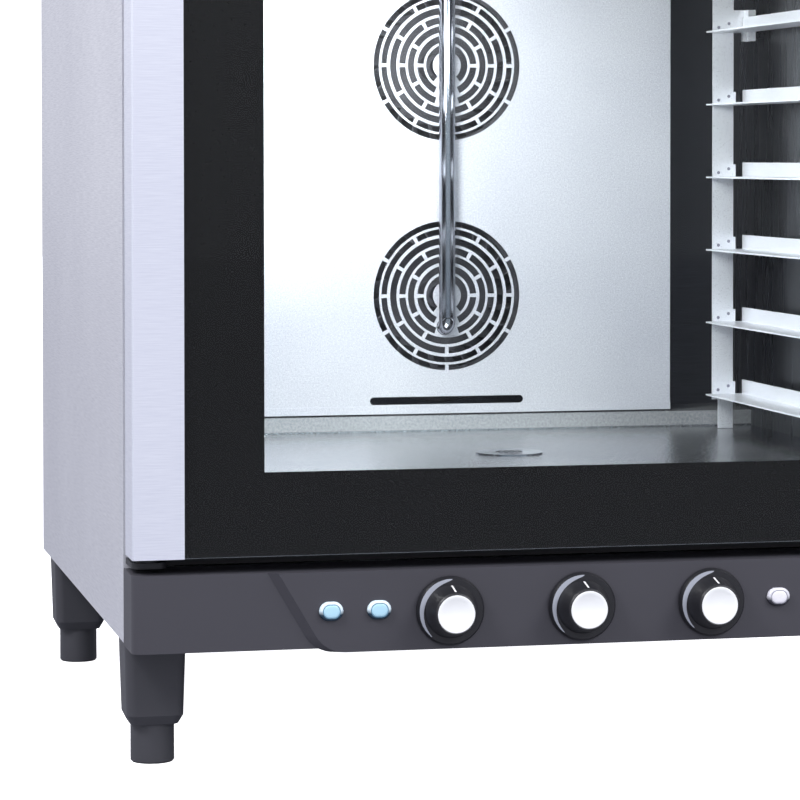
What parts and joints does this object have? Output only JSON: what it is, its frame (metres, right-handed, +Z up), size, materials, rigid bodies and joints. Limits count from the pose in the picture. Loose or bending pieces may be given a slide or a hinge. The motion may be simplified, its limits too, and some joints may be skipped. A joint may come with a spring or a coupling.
{
  "type": "combi steamer oven",
  "caption": "Free-standing combi steamer oven with a glazed side-hinged door, fan-heated chamber, tray racks, rotary controls and levelling feet.",
  "frame": {"origin": "bottom centre of the oven's box, on the floor", "axes": "+Z up, +Y towards the rear, +X to the right seen from the front; the door is on the -Y side"},
  "size_m": [0.785, 0.832, 0.858],
  "materials": {
    "casing_steel": "fine horizontal satin grain",
    "frame_steel": "satin",
    "cavity_steel": "bright satin",
    "galvanised": "galvanised",
    "bright_steel": "polished",
    "black_glass": "tempered, black printed border",
    "clear_glass": "tempered",
    "dark_plastic": "fine moulded texture",
    "knob_plastic": "satin moulded",
    "foot_plastic": "moulded",
    "silicone": "matt",
    "wool": "mineral wool",
    "cast_alloy": "cast",
    "brass_fitting": "turned",
    "lamp_lens": "pale blue lens",
    "button_plastic": "white lens",
    "heater_sheath": "heat-darkened",
    "wheel_steel": "dark satin",
    "black_plastic": "moulded"
  },
  "bodies": {
    "cabinet": {"back_panel": "galvanised", "baffle_spacers": "bright_steel", "base_tray": "galvanised", "button_switches": "black_plastic", "cable_gland": "black_plastic", "cavity_back": "cavity_steel", "cavity_floor": "cavity_steel", "cavity_lamp": "clear_glass", "cavity_wrap": "cavity_steel", "control_fascia": "dark_plastic", "cooling_fan_frame": "black_plastic", "door_catch": "black_plastic", "door_gasket": "silicone", "drain_pipe": "frame_steel", "drain_strainer": "bright_steel", "exhaust_pipe": "frame_steel", "fan_baffle": "cavity_steel", "fan_motor_lower": "cast_alloy", "fan_motor_upper": "cast_alloy", "foot_bodies": "foot_plastic", "front_frame": "frame_steel", "heater_ring_lower": "heater_sheath", "heater_ring_upper": "heater_sheath", "hinge_brackets": "frame_steel", "insulation": "wool", "panel_screws": "bright_steel", "pilot_lamps": "lamp_lens", "regulators": "black_plastic", "side_panel_left": "casing_steel", "side_panel_right": "casing_steel", "steam_pipe": "bright_steel", "top_panel": "casing_steel", "water_valve": "brass_fitting"},
    "door": {"door_stile_left": "casing_steel", "door_stile_right": "casing_steel", "door_rail_bottom": "frame_steel", "door_rail_top": "frame_steel", "hinge_bushes": "brass_fitting", "door_outer_glass": "black_glass", "door_inner_glass": "clear_glass", "door_handle": "bright_steel"},
    "rack_left": {"rack_left": "bright_steel"},
    "rack_right": {"rack_right": "bright_steel"},
    "cooling_fan": {"cooling_fan_rotor": "black_plastic"},
    "foot_front_left": {"foot_adjuster_front_left": "foot_plastic"},
    "foot_front_right": {"foot_adjuster_front_right": "foot_plastic"},
    "foot_rear_left": {"foot_adjuster_rear_left": "foot_plastic"},
    "foot_rear_right": {"foot_adjuster_rear_right": "foot_plastic"},
    "fan_lower": {"fan_wheel_lower": "wheel_steel", "motor_shaft_lower": "bright_steel"},
    "fan_upper": {"fan_wheel_upper": "wheel_steel", "motor_shaft_upper": "bright_steel"},
    "knob_temperature": {"knob_temperature": "knob_plastic", "spindle_temperature": "bright_steel"},
    "knob_time": {"knob_time": "knob_plastic", "spindle_time": "bright_steel"},
    "knob_steam": {"knob_steam": "knob_plastic", "spindle_steam": "bright_steel"},
    "button_light": {"push_button_light": "button_plastic"},
    "button_cooling": {"push_button_cooling": "button_plastic"}
  },
  "joints": [
    {"name": "door_hinge", "type": "hinge", "parent": "cabinet", "child": "door", "pos_m": [-0.3765, -0.335, 0.1884], "axis": [0, 0, -1], "range_deg": [0, 120]},
    {"name": "rack_left_lift", "type": "slide", "parent": "cabinet", "child": "rack_left", "axis": [0, 0, 1], "range_m": [0, 0.014]},
    {"name": "rack_right_lift", "type": "slide", "parent": "cabinet", "child": "rack_right", "axis": [0, 0, 1], "range_m": [0, 0.014]},
    {"name": "fan_lower_spin", "type": "hinge", "parent": "cabinet", "child": "fan_lower", "pos_m": [0, 0.231, 0.3874], "axis": [0, 1, 0], "continuous": true},
    {"name": "fan_upper_spin", "type": "hinge", "parent": "cabinet", "child": "fan_upper", "pos_m": [0, 0.231, 0.6242], "axis": [0, 1, 0], "continuous": true},
    {"name": "cooling_fan_spin", "type": "hinge", "parent": "cabinet", "child": "cooling_fan", "pos_m": [-0.3, 0.3606, 0.165], "axis": [0, 1, 0], "continuous": true},
    {"name": "knob_temperature_turn", "type": "hinge", "parent": "cabinet", "child": "knob_temperature", "pos_m": [-0.1181, -0.365, 0.1385], "axis": [0, 1, 0], "range_deg": [0, 300]},
    {"name": "knob_time_turn", "type": "hinge", "parent": "cabinet", "child": "knob_time", "pos_m": [0, -0.365, 0.1385], "axis": [0, 1, 0], "range_deg": [0, 330]},
    {"name": "knob_steam_turn", "type": "hinge", "parent": "cabinet", "child": "knob_steam", "pos_m": [0.1181, -0.365, 0.1385], "axis": [0, 1, 0], "range_deg": [0, 270]},
    {"name": "button_light_press", "type": "slide", "parent": "cabinet", "child": "button_light", "axis": [0, 1, 0], "range_m": [0, 0.003], "stiffness_N_per_m": 600, "springref_m": -0.001},
    {"name": "button_cooling_press", "type": "slide", "parent": "cabinet", "child": "button_cooling", "axis": [0, 1, 0], "range_m": [0, 0.003], "stiffness_N_per_m": 600, "springref_m": -0.001},
    {"name": "foot_front_left_screw", "type": "hinge", "parent": "cabinet", "child": "foot_front_left", "pos_m": [-0.363, -0.263, 0], "axis": [0, 0, 1], "continuous": true},
    {"name": "foot_front_right_screw", "type": "hinge", "parent": "cabinet", "child": "foot_front_right", "pos_m": [0.363, -0.263, 0], "axis": [0, 0, 1], "continuous": true},
    {"name": "foot_rear_left_screw", "type": "hinge", "parent": "cabinet", "child": "foot_rear_left", "pos_m": [-0.363, 0.318, 0], "axis": [0, 0, 1], "continuous": true},
    {"name": "foot_rear_right_screw", "type": "hinge", "parent": "cabinet", "child": "foot_rear_right", "pos_m": [0.363, 0.318, 0], "axis": [0, 0, 1], "continuous": true}
  ]
}
